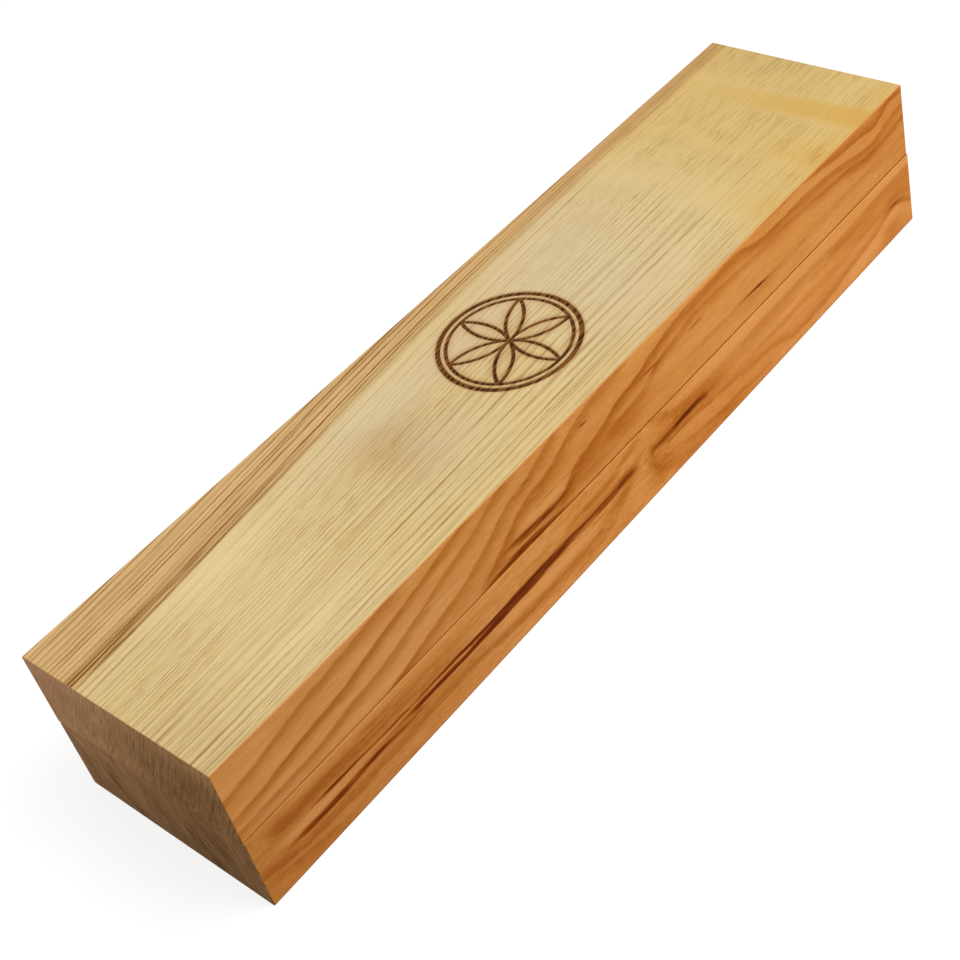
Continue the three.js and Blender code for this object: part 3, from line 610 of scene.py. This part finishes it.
# The front of the base. Its rings sag between the ends and pass a small knot beside the middle.
base_ground = [
    (-161, 0.50), (-152, 0.44), (-120, 0.40), (-80, 0.28), (-55, 0.12), (-30, 0.14), (0, 0.22),
    (20, 0.24), (60, 0.19), (110, 0.16), (161, 0.24)]
base_stripes = [
    (3.0, 2.5, [(-154, 27.5, 0), (-140, 27, -0.2), (-110, 27, -0.24), (-80, 27, -0.15), (-55, 27, 0)]),
    (2.8, 2.2, [(-156, 22, 0), (-151, 21.8, 0.5), (-145, 21.2, 0.62), (-135, 21, 0.56),
     (-125, 20.6, 0.46), (-115, 20, 0.38), (-100, 19.2, 0.32), (-85, 18.6, 0.25), (-75, 18, 0.1),
     (-68, 18, 0)]),
    (0.7, 0.7, [(-122, 24.6, 0), (-117, 24.5, 0.4), (-112, 24.2, 0.45), (-106, 24.2, 0.18),
     (-98, 24, 0)]),
    (0.45, 0.45, [(-142, 22.8, 0), (-135, 22.6, 0.15), (-128, 22.4, 0.38), (-122, 22.2, 0.32),
     (-110, 21.8, 0.14), (-90, 22, 0.1), (-78, 22, 0)]),
    (1.3, 1.3, [(-118, 22.5, 0), (-105, 22.6, 0.14), (-90, 22.4, 0.14), (-75, 22, 0.14),
     (-60, 21.2, 0.18), (-45, 21.2, 0.18), (-34, 21.5, 0)]),
    (1.5, 1.5, [(-153, 15.5, 0), (-146, 15.5, -0.3), (-139, 15.3, -0.34), (-130, 15.2, -0.28),
     (-115, 15.4, -0.25), (-100, 15.7, -0.2), (-80, 15.5, -0.15), (-72, 15.4, 0)]),
    (3.4, 0.6, [(-172, 11.8, 0.2), (-160, 11, 0.32), (-150, 9, 0.40), (-142, 7.7, 0.4), (-130, 7.2, 0.4),
     (-110, 7.1, 0.4), (-95, 7.6, 0.38), (-85, 8, 0.32), (-74, 8, 0.2), (-62, 7.8, 0)]),
    (2.2, 1.8, [(-90, 9, 0), (-78, 8.6, 0.28), (-68, 8, 0.45), (-60, 7.3, 0.55), (-52, 6.7, 0.64),
     (-46, 6.5, 0.64), (-38, 6.4, 0.56), (-30, 6.6, 0.5), (-22, 7.3, 0.4), (-16, 8.8, 0.38),
     (-11, 10.3, 0.4), (-6, 12, 0.42), (-2, 13.5, 0.36), (2, 15.2, 0.2), (6, 17, 0)]),
    (2.5, 0.7, [(-35, 2, 0), (-25, 3, 0.2), (-18, 4.2, 0.26), (-12, 6, 0.28), (-8, 8, 0.28),
     (-3, 10.5, 0.2), (0, 12.5, 0)]),
    (0.8, 3.0, [(-175, 9.5, 0.1), (-161, 8.5, 0.16), (-155, 7.5, 0.26), (-149, 6, 0.36), (-143, 5, 0.34),
     (-135, 4, 0.2), (-127, 3, 0)]),
    (0.35, 0.35, [(0.5, 15.2, 0), (2, 16.8, 0.22), (4, 18.8, 0.3), (6, 19.8, 0.26), (9, 20, 0.2),
     (11, 19.4, 0)]),
    (1.8, 1.8, [(-76, 11.5, 0), (-60, 11.3, -0.1), (-45, 11.2, -0.14), (-30, 11.3, -0.14),
     (-20, 11, -0.08), (-12, 10, 0)]),
    (1.2, 1.3, [(-33, 21, 0), (-26, 21.3, 0.42), (-20, 21.3, 0.48), (-14, 21.2, 0.46), (-8, 22.2, 0.4),
     (-3, 23.6, 0.3), (2, 25.2, 0.3), (6, 26.5, 0.2), (10, 28, 0)]),
    (0.8, 0.8, [(-22, 18.6, 0), (-12, 19, -0.14), (-4, 20.2, -0.18), (2, 21.5, -0.14), (8, 23, 0)]),
    (0.8, 4.2, [(8, 28.5, 0), (14, 27.5, 0.2), (18, 26, 0.34), (22, 23.6, 0.42), (28, 22.4, 0.48),
     (36, 21.7, 0.36), (42, 21.3, 0.3), (60, 21.3, 0.24), (80, 21.9, 0.28), (100, 22.3, 0.26),
     (120, 21.9, 0.28), (140, 22.8, 0.28), (150, 23.6, 0.32), (161, 23.6, 0.34), (175, 23.6, 0.34)]),
    (1.2, 1.2, [(108, 19.8, 0), (115, 20, 0.16), (121, 19.8, 0.24), (127, 19.6, 0.12), (134, 19.4, 0)]),
    (3.4, 2.6, [(5, 18, 0), (7, 15.5, 0.2), (9, 12, 0.3), (11, 9.5, 0.34), (14, 7, 0.36), (18, 4.8, 0.34),
     (24, 3.2, 0.32), (32, 2.6, 0.3), (42, 3, 0.32), (50, 3, 0.34), (58, 2.6, 0.22), (70, 1.5, 0.12),
     (82, 0, 0)]),
    (2.8, 0.5, [(10, 16, 0), (16, 14.8, 0.16), (22, 14.2, 0.26), (30, 13.8, 0.34), (38, 12.9, 0.4),
     (45, 12, 0.4), (52, 10.9, 0.44), (58, 10.3, 0.36), (66, 9.5, 0.36), (74, 8, 0.32), (80, 6.4, 0.36),
     (86, 4.2, 0.36), (92, 4, 0.42), (100, 4.3, 0.46), (108, 4.5, 0.42), (114, 5.3, 0.42),
     (120, 6.8, 0.42), (130, 8.1, 0.42), (140, 9.8, 0.42), (145, 11.3, 0.48), (148.5, 12.3, 0.52),
     (152, 12, 0.52), (156, 10.8, 0.45), (161, 8.6, 0.38), (175, 6, 0.34)]),
    (0.6, 3.0, [(13, 11, 0), (18, 9.8, 0.24), (24, 8.6, 0.24), (32, 7.1, 0.26), (40, 5.9, 0.3),
     (48, 5.1, 0.34), (56, 4.9, 0.24), (66, 4, 0.12), (76, 3, 0)]),
    (1.2, 1.2, [(50, 13.5, 0), (62, 13.6, 0.16), (75, 13.4, 0.2), (90, 13, 0.2), (105, 12.8, 0.16),
     (118, 12.5, 0.16), (130, 14, 0.2), (145, 15.5, 0.16), (150, 16, 0.16), (161, 14, 0.26)]),
    (1.8, 3.0, [(106, 2, 0), (116, 3.5, -0.12), (128, 5.5, -0.22), (138, 7, -0.2), (146, 9.6, -0.16),
     (150, 10.4, -0.2), (156, 8.5, -0.18), (161, 6, -0.1)]),
    (1.2, 1.2, [(54, 15, 0), (70, 15.6, -0.08), (82, 16, -0.16), (95, 16.2, -0.2), (106, 16.2, -0.12),
     (115, 16, 0)]),
    (3.0, 2.2, [(24, 26, 0), (38, 25.3, -0.22), (60, 25.2, -0.26), (100, 25.4, -0.26), (140, 26, -0.26),
     (175, 26, -0.26)]),
    (2.4, 2.2, [(-62, 17, 0), (-42, 17.4, 0.22), (-22, 17.6, 0.34), (-6, 18, 0.44), (0, 17.2, 0.42),
     (4, 17, 0.22), (8, 17, 0.22), (12, 17.2, 0.54), (22, 17.6, 0.50), (40, 17.4, 0.36), (56, 16.5, 0)]),
    (1.0, 1.0, [(20, 5.6, 0), (30, 4.6, -0.12), (44, 3.8, -0.14), (60, 2.6, -0.1), (72, 1.5, 0)]),
]
base_patches = [
    (10.4, 15.5, 1.0, 3.4, 0.26), (6.6, 16.5, 2.0, 2.6, -0.16), (-155, 10, 6, 3.0, 0.12),
    (134, 10.5, 13, 2.8, -0.18), (12, 9.5, 4.2, 5.5, 0.26), (18, 12, 14, 3.0, 0.12),
    (128, 16, 18, 5, 0.10), (154, 17, 9, 3.5, 0.2), (147, 4, 6, 4.2, 0.34), (3, 6, 4.5, 8, -0.12),
    (-150, 21, 4, 3, 0.16), (20, 24, 3.5, 3, 0.14), (10, 24.5, 4, 3, -0.1)]
base_stains = [
    (0.54, 0.6, [(-144, 17.6, 0), (-137, 17.7, 0.42), (-131, 17.6, 0.96), (-126, 17.5, 0.74),
     (-120, 17.3, 0.54), (-110, 17, 0.6), (-104, 16.9, 0.82), (-100, 16.7, 0.38), (-95, 16.7, 0.72),
     (-88, 16.7, 0.9), (-80, 16.8, 0.96), (-72, 16.7, 0.72), (-64, 16.6, 0.36), (-56, 16.6, 0)]),
    (1.08, 0.96, [(-153, 12.6, 0), (-148, 12.5, 0.4), (-143, 12.3, 0.84), (-138, 12.2, 0.8),
     (-130, 12.2, 0.96), (-122, 12.5, 0.86), (-115, 12.8, 0.84), (-110, 12.7, 0.74), (-104, 12.4, 0.64),
     (-99, 12.2, 0.42), (-93, 12, 0.14), (-78, 11.7, 0.1), (-66, 12.2, 0.12), (-58, 12.3, 0)]),
    (1.08, 0.96, [(-126, 15, 0), (-118, 15, 0.17), (-110, 14.9, 0.24), (-103, 14.7, 0.42),
     (-97, 14.5, 0.84), (-90, 14.4, 0.9), (-83, 14.3, 1.02), (-76, 14.2, 1.02), (-70, 14.2, 0.96),
     (-62, 14.4, 0.94), (-55, 14.6, 0.84), (-50, 14.5, 0.79), (-45, 14.8, 0.6), (-38, 15.1, 0.44),
     (-30, 15.3, 0.38), (-20, 15.4, 0.38), (-12, 15.6, 0.42), (-6, 15.9, 0.3), (0, 16.2, 0)]),
    (0.84, 1.32, [(-82, 16.3, 0), (-70, 16.2, 0.54), (-62, 16.4, 0.92), (-55, 16.6, 1.06),
     (-48, 16.7, 1.10), (-40, 16.7, 0.94), (-30, 16.8, 0.74), (-22, 16.8, 0.6), (-15, 16.7, 0.52),
     (-8, 16.6, 0.46), (-5, 16.9, 0.74), (-1, 17.1, 0.86), (2, 17.1, 0.3), (5, 17.3, 0)]),
    (0.28, 0.28, [(-122, 15.6, 0), (-108, 15.8, -0.2), (-96, 15.8, -0.4), (-84, 15.5, -0.55),
     (-74, 15.3, -0.5), (-66, 15.3, -0.2), (-60, 15.4, 0)]),
    (0.30, 0.30, [(-98, 13.2, 0), (-90, 13.1, -0.3), (-78, 12.9, -0.35), (-66, 12.8, -0.3),
     (-56, 12.8, 0)]),
    (0.26, 0.26, [(-36, 15.9, 0), (-28, 16, -0.3), (-16, 16.2, -0.35), (-8, 16.3, -0.2), (-4, 16.4, 0)]),
    (0.36, 0.36, [(-24, 13.2, 0), (-16, 13, 0.2), (-8, 13.3, 0)]),
    (0.30, 0.30, [(-40, 13.4, 0), (-30, 13.1, 0.22), (-20, 12.9, 0.16), (-12, 12.8, 0)]),
    (0.36, 0.36, [(-10, 18, 0), (-6, 18.1, 0.3), (-1, 18.4, 0.48), (2, 18.5, 0.36), (5, 18.6, 0)]),
    (0.95, 0.95, [(8, 17, 0), (12, 17, 0.38), (17, 16.8, 0.72), (22, 16.9, 0.9), (27, 17.3, 1.34),
     (32, 17.4, 1.42), (36, 17.3, 1.28), (38.5, 17, 0.8), (40.5, 16.9, 0.25), (46, 16.4, 0.14),
     (54, 15.5, 0)]),
    (0.48, 0.48, [(16, 14.2, 0), (20, 14.1, 0.36), (25, 14.2, 0.3), (30, 14.4, 0.17), (35, 14.4, 0)]),
    (0.6, 0.6, [(143, 13.4, 0), (147, 13.6, 0.31), (150, 13.5, 0.5), (153, 13.2, 0.34), (158, 12.6, 0)]),
]

# Slow changes of tone on the lid's top: (amount, colour, way of mixing, where).
lid_tones = [
    (0.75, tint(250, 238, 206), "MULTIPLY", lambda x, y: x.rise(60.0, 118.0)),
    (0.36, tint(230, 209, 172), "MIX", lambda x, y: x.hump(34.0, 30.0)),
    (0.42, tint(227, 205, 172), "MIX", lambda x, y: x.hump(-18.0, 60.0) * y.hump(14.0, 9.0)),
    (0.50, tint(247, 219, 166), "MIX", lambda x, y: x.hump(-112.0, 28.0) * y.hump(15.0, 8.0)),
    (0.22, tint(255, 230, 176), "MIX", lambda x, y: x.hump(-112.0, 26.0) * y.rise(24.0, 16.0)),
    (0.28, tint(244, 232, 192), "MIX", lambda x, y: x.hump(-46.0, 20.0) * y.along([
        (-38, 0.15), (-22, 0.35), (-14, 0.95), (-6, 0.8), (3, 0.0), (8, 0.1), (14, 1.0), (25, 0.8),
        (31, 0.0)])),
    (0.30, tint(182, 152, 120), "MIX", lambda x, y: x.hump(-48.0, 15.0) * y.hump(-2.0, 17.0)),
    (1.00, tint(250, 252, 255), "MULTIPLY", lambda x, y: (
        (x - y * 0.8).rise(0.0, 40.0) * y.rise(31.0, 27.0) * (y.rise(-30.0, -4.0) * 0.6 + 0.4))),
    (1.00, tint(247, 247, 246), "MULTIPLY", lambda x, y: x.rise(138.0, 152.0) * y.rise(-14.0, 4.0)),
    (1.00, tint(254, 248, 237), "MULTIPLY", lambda x, y: x.rise(-100.0, 60.0) * y.rise(-27.0, -35.0)),
    (1.00, tint(248, 247, 249), "MULTIPLY", lambda x, y: x.rise(-138.0, -156.0) * y.rise(-8.0, -24.0)),
    (0.55, tint(246, 222, 148), "MULTIPLY", lambda x, y: (
        (x + y * 0.05).rise(129.0, 134.5) * (x + y * 0.08).rise(143.5, 138.5)
        * (y.rise(30.0, -20.0) * 0.75 + 0.25))),
    (0.40, tint(250, 226, 160), "MULTIPLY", lambda x, y: x.hump(86.0, 7.0) * y.rise(-8.0, -36.0)),
    (0.40, tint(250, 226, 160), "MULTIPLY", lambda x, y: x.hump(115.0, 7.0) * y.rise(-4.0, -36.0)),
    (0.30, tint(238, 214, 176), "MULTIPLY", lambda x, y: x.hump(-56.0, 7.0) * y.hump(-3.0, 15.0)),
]

lid_ash = block_finish(
    name="ash_of_the_lid", lean=(0.883, 0.469), drift=lid_drift, drift_at_front=0.30,
    counts=lid_counts, front=lid_front, rear=lid_rear,
    figure=(lid_ground, lid_stripes, lid_patches, lid_stains, lid_fray), rear_arch=lid_arch,
    heart=39.4, curl=lid_curl, tones=lid_tones,
    end_colours=(tint(208, 162, 116), tint(166, 118, 72), tint(164, 122, 74), tint(110, 72, 35)),
    end_contrast=2.1, end_leaves=lid_leaves, carved=True)
base_ash = block_finish(
    name="ash_of_the_base", lean=(0.94, -0.342), drift=base_drift, drift_at_front=0.6,
    counts=base_counts, front=base_front, rear=base_rear,
    figure=(base_ground, base_stripes, base_patches, base_stains, base_fray), rear_arch=base_arch,
    heart=33.0, curl=base_curl, tones=[],
    end_colours=(tint(192, 144, 98), tint(130, 88, 50), tint(166, 124, 78), tint(98, 62, 30)),
    end_contrast=3.2, end_leaves=base_leaves, carved=False)


def brass_finish():
    """Satin brass: fine lines of the polishing belt along X, and duller patches."""
    finish, shader, x, y, z = new_finish("satin_brass")
    lines = cloud(x / 6.0, y / 0.07, z / 0.07, 2.0)
    patches = cloud(x / 5.0, y / 5.0, z / 5.0, 3.0)
    bright = (patches * 0.7 + lines * 0.3).held()
    feed(shader.inputs["Base Color"], bright.paint(tint(176, 128, 54), tint(214, 168, 86)))
    feed(shader.inputs["Roughness"], 0.26 + patches * 0.14 + lines * 0.08)
    shader.inputs["Metallic"].default_value = 1.0
    relief(shader, lines * 0.6 + patches * 0.4, 0.008)
    return finish


def nickel_finish():
    """Bright nickel plate with hairline scratches and a few dull prints."""
    finish, shader, x, y, z = new_finish("bright_nickel")
    hairs = cloud(x / 0.08, y / 4.0, z, 2.0)
    prints = cloud(x / 2.5, y / 2.5, z / 2.5, 2.0)
    feed(shader.inputs["Base Color"], prints.paint(tint(205, 203, 200), tint(222, 220, 215)))
    feed(shader.inputs["Roughness"], 0.14 + prints * 0.12 + hairs * 0.05)
    shader.inputs["Metallic"].default_value = 1.0
    relief(shader, hairs, 0.003)
    return finish


def foam_finish():
    """Dark closed-cell foam: cells of half a millimetre, a fine nap, and soft lighter patches."""
    finish, shader, x, y, z = new_finish("dark_foam")
    cell = cells(x / 0.55, y / 0.55, z / 0.55)
    nap = cloud(x / 0.25, y / 0.25, z / 0.25, 3.0, 0.6)
    patches = cloud(x / 14.0, y / 14.0, z / 14.0, 3.0)
    shade = (nap * 0.5 + patches * 0.35 + cell * 0.3).held()
    feed(shader.inputs["Base Color"], shade.paint(tint(25, 24, 26), tint(55, 54, 57)))
    feed(shader.inputs["Roughness"], 0.86 + (nap - 0.5) * 0.12)
    shader.inputs["Sheen Weight"].default_value = 0.25
    shader.inputs["Sheen Roughness"].default_value = 0.6
    relief(shader, cell * 0.6 + nap * 0.4, 0.12)
    return finish


brass, nickel, foam = brass_finish(), nickel_finish(), foam_finish()


def merged_copy(node):
    """A bmesh of a CAD node's triangles with their shared corners joined."""
    made = bmesh.new()
    made.from_mesh(nodes[node].data)
    bmesh.ops.remove_doubles(made, verts=made.verts, dist=1e-6)
    return made


def merged_mesh(node, name):
    """The same as a mesh."""
    copy, mesh = merged_copy(node), bpy.data.meshes.new(name)
    copy.to_mesh(mesh)
    copy.free()
    return mesh


def place(thing, name):
    """Puts a mesh, lamp or camera in the scene as an object."""
    made = bpy.data.objects.new(name, thing)
    bpy.context.scene.collection.objects.link(made)
    return made


def show(name, mesh, finish, node, body, crease=35.0):
    """Puts a mesh in the scene as a piece that stands for a node, smooth except over creases."""
    mesh.materials.clear()
    mesh.materials.append(finish)
    mesh.shade_smooth()
    mesh.set_sharp_from_angle(angle=math.radians(crease))
    piece = place(mesh, name)
    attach(piece, body)
    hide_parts(node)
    return piece


def even_faces(piece):
    """Lets the large flat faces keep their own direction, so that only the arrises turn the light."""
    modifier = piece.modifiers.new("even_faces", "WEIGHTED_NORMAL")
    modifier.mode, modifier.keep_sharp = "FACE_AREA", True


def rosette_distances(x, y):
    """Distance of each point from the nearest petal line, and from the rim, of a six-petal compass
    rosette in two rings.

    A petal's edges are arcs of circles as large as the inner ring, with their centres on it every
    sixty degrees, so the distance is that from the nearest such circle, inside the ring only."""
    ring = carving_radius - petal_ring_inset
    out = np.hypot(x, y)
    nearest = np.abs(out - ring)
    for angle in np.radians(np.arange(6) * 60.0 + 30.0):
        arc = np.abs(np.hypot(x - ring * np.cos(angle), y - ring * np.sin(angle)) - ring)
        nearest = np.minimum(nearest, np.where(out < ring, arc, nearest))
    return nearest, np.abs(out - carving_radius + rim_inset)


def open_lid():
    """Points and faces of the lid without its top face, and the four corners that the top had.

    The arris over the split is drawn in towards its own corner, so that the split shows as a thin
    line."""
    block = merged_copy("lid_block")
    top = [face for face in block.faces
           if face.normal.z > 0.999 and min(v.co.z for v in face.verts) > mm(lid_top - 0.01)]
    bmesh.ops.delete(block, geom=top, context="FACES_ONLY")
    shell = bpy.data.meshes.new("lid_shell")
    block.to_mesh(shell)
    block.free()
    points = np.empty(len(shell.vertices) * 3)
    shell.vertices.foreach_get("co", points)
    points = points.reshape(-1, 3)
    split_corner = np.array([mm(lid_front), mm(split_height)])
    arris = (points[:, 1:] < split_corner + mm(arris_radius + 0.005)).all(1)
    arris &= np.abs(points[:, 0]) < mm(case_half_length - arris_radius + 0.01)
    points[arris, 1:] = split_corner + (points[arris, 1:] - split_corner) * split_arris_share
    flat = np.where(points[:, 2] > mm(lid_top - 0.001))[0]
    corners = [flat[np.argmax(points[flat] @ np.array([*way, 0.0]))]
               for way in ((-1, -1), (1, -1), (1, 1), (-1, 1))]
    return points, [list(face.vertices) for face in shell.polygons], corners


def carved_lid():
    """The lid with a rosette cut and burnt into its top.

    The top is a square grid of points whose height is minus the depth times the root of one minus
    the square of the distance from a line over half the line's width, and zero further out. Four
    flat faces join the grid to the rest of the lid."""
    points, faces, corner = open_lid()
    count = int(round(2 * patch_half_side / patch_step))
    line = np.linspace(-patch_half_side, patch_half_side, count + 1)
    x, y = np.meshgrid(line, line)
    petals, rim = rosette_distances(x, y)
    share = np.minimum(petals / petal_half_width, rim / rim_half_width)
    height = lid_top - carving_depth * np.sqrt(np.clip(1.0 - share**2, 0.0, 1.0))
    grid = np.column_stack([mm(x.ravel()), mm(y.ravel()), mm(height.ravel())])

    first = len(points)
    number = np.arange((count + 1) ** 2).reshape(count + 1, count + 1) + first
    quads = np.stack([number[:-1, :-1], number[:-1, 1:], number[1:, 1:], number[1:, :-1]], -1)
    edges = number[0, ::-1], number[::-1, -1], number[-1, :], number[:, 0]
    borders = [[int(v) for v in (corner[k], corner[(k + 1) % 4], *edge)] for k, edge in enumerate(edges)]
    mesh = bpy.data.meshes.new("lid_carved")
    mesh.from_pydata(np.vstack([points, grid]).tolist(), [], faces + quads.reshape(-1, 4).tolist() + borders)

    near = np.minimum(petals - petal_burn, rim - rim_burn)
    burn = np.clip(0.5 - near / burn_fade, 0.0, 1.0)
    scorch = np.exp(-(np.clip(near, 0.0, None) / scorch_reach) ** 2)
    scorch = np.where(np.hypot(x, y) < patch_half_side - 0.5, scorch, 0.0)
    for name, values in (("burn", burn), ("scorch", scorch)):
        held = mesh.attributes.new(name, "FLOAT", "POINT")
        held.data.foreach_set("value", np.append(np.zeros(first), values).astype(np.float32))
    return mesh


lid = show("lid_carved", carved_lid(), lid_ash, "lid_block", "lid", 50.0)
even_faces(lid)


def fine_copy(node, name, finish, body):
    """A CAD node's own shape with its round surfaces shaded round."""
    even_faces(show(name, merged_mesh(node, name), finish, node, body))


fine_copy("base_block", "base_milled", base_ash, "base")
for side in ("left", "right"):
    fine_copy(f"hinge_{side}_pin", f"{side}_pin", brass, "base")
    for body in ("base", "lid"):
        fine_copy(f"hinge_{side}_{body}_leaf", f"{side}_{body}_leaf", brass, body)
        for k in (1, 2):
            fine_copy(f"hinge_{side}_{body}_screw_{k}", f"{side}_{body}_screw_{k}", brass, body)
    for body in ("base", "lid"):
        fine_copy(f"{body}_magnet_{side}", f"{side}_{body}_magnet", nickel, body)


def soft_copy(node, name, body, face_size, rounds):
    """A foam piece: its CAD solid rebuilt in small even faces, then each point drawn towards the mean
    of its neighbours a few times, which rounds every cut edge as soft foam's are."""
    rough = place(merged_mesh(node, name), name + "_rough")
    remesh = rough.modifiers.new("even", "REMESH")
    remesh.mode, remesh.voxel_size = "VOXEL", mm(face_size)
    relax = rough.modifiers.new("relax", "SMOOTH")
    relax.factor, relax.iterations = 0.5, rounds
    bpy.context.view_layer.update()
    ready = bpy.data.meshes.new_from_object(rough.evaluated_get(bpy.context.evaluated_depsgraph_get()))
    bpy.data.objects.remove(rough)
    ready.name = name
    piece = show(name, ready, foam, node, body, 180.0)


soft_copy("knife_nest", "nest_foam", "base", face_size=0.9, rounds=3)
soft_copy("nest_floor", "floor_foam", "base", face_size=1.2, rounds=2)
soft_copy("lid_pad", "lid_foam", "lid", face_size=1.2, rounds=4)


def white_paper():
    """Paper that is greyer as a source of light than where the camera sees it."""
    paper = bpy.data.materials.new("white_paper")
    paper.use_nodes = True
    tree = paper.node_tree
    tree.nodes.clear()
    matt, thin = (tree.nodes.new("ShaderNodeBsdfDiffuse") for _ in range(2))
    matt.inputs["Color"].default_value = grey(paper_grey)
    thin.inputs["Color"].default_value = grey(paper_seen_grey)
    glow = tree.nodes.new("ShaderNodeEmission")
    glow.inputs["Color"].default_value = grey(1.0)
    glow.inputs["Strength"].default_value = paper_seen_glow
    both = tree.nodes.new("ShaderNodeAddShader")
    choice = tree.nodes.new("ShaderNodeMixShader")
    out = tree.nodes.new("ShaderNodeOutputMaterial")
    feed(choice.inputs[0], seen_straight(tree))
    for source, socket in ((thin, both.inputs[0]), (glow, both.inputs[1]), (matt, choice.inputs[1]),
                           (both, choice.inputs[2]), (choice, out.inputs["Surface"])):
        tree.links.new(source.outputs[0], socket)
    return paper


# Floor, light and camera.
half, level = mm(floor_half_side), mm(-floor_drop)
corners = [(-half, -half, level), (half, -half, level), (half, half, level), (-half, half, level)]
floor_mesh = bpy.data.meshes.new("floor")
floor_mesh.from_pydata(corners, [], [(0, 1, 2, 3)])
floor_mesh.materials.append(white_paper())
floor = place(floor_mesh, "floor")

world = bpy.data.worlds.new("studio")
bpy.context.scene.world = world
world.use_nodes = True
backdrop = next(n for n in world.node_tree.nodes if n.type == "BACKGROUND")
straight = seen_straight(world.node_tree)
feed(backdrop.inputs["Strength"], straight * (sky_seen_strength - sky_strength) + sky_strength)
backdrop.inputs["Color"].default_value = grey(1.0)

lamp = bpy.data.lights.new("key_softbox", "AREA")
lamp.shape, lamp.size, lamp.energy = "SQUARE", mm(lamp_side), lamp_watts
softbox = place(lamp, "key_softbox")
softbox.location = mm(Vector(lamp_place))
softbox.rotation_euler = mm(Vector(lamp_aim) - Vector(lamp_place)).to_track_quat("-Z", "Y").to_euler()

camera_data = bpy.data.cameras.new("photo_camera")
camera_data.sensor_width, camera_data.lens = sensor_width, lens_length
camera_data.shift_x, camera_data.shift_y = camera_shift
camera_data.clip_start = mm(10.0)
view = Vector(camera_view).normalized()
right = view.cross(Vector(camera_up)).normalized()
turn = Matrix((right, right.cross(view), -view)).transposed().to_4x4()
camera = place(camera_data, "photo_camera")
camera.matrix_world = Matrix.Translation(mm(Vector(camera_place))) @ turn
bpy.context.scene.camera = camera

bpy.context.scene.view_settings.view_transform = "Standard"

bpy.context.view_layer.update()
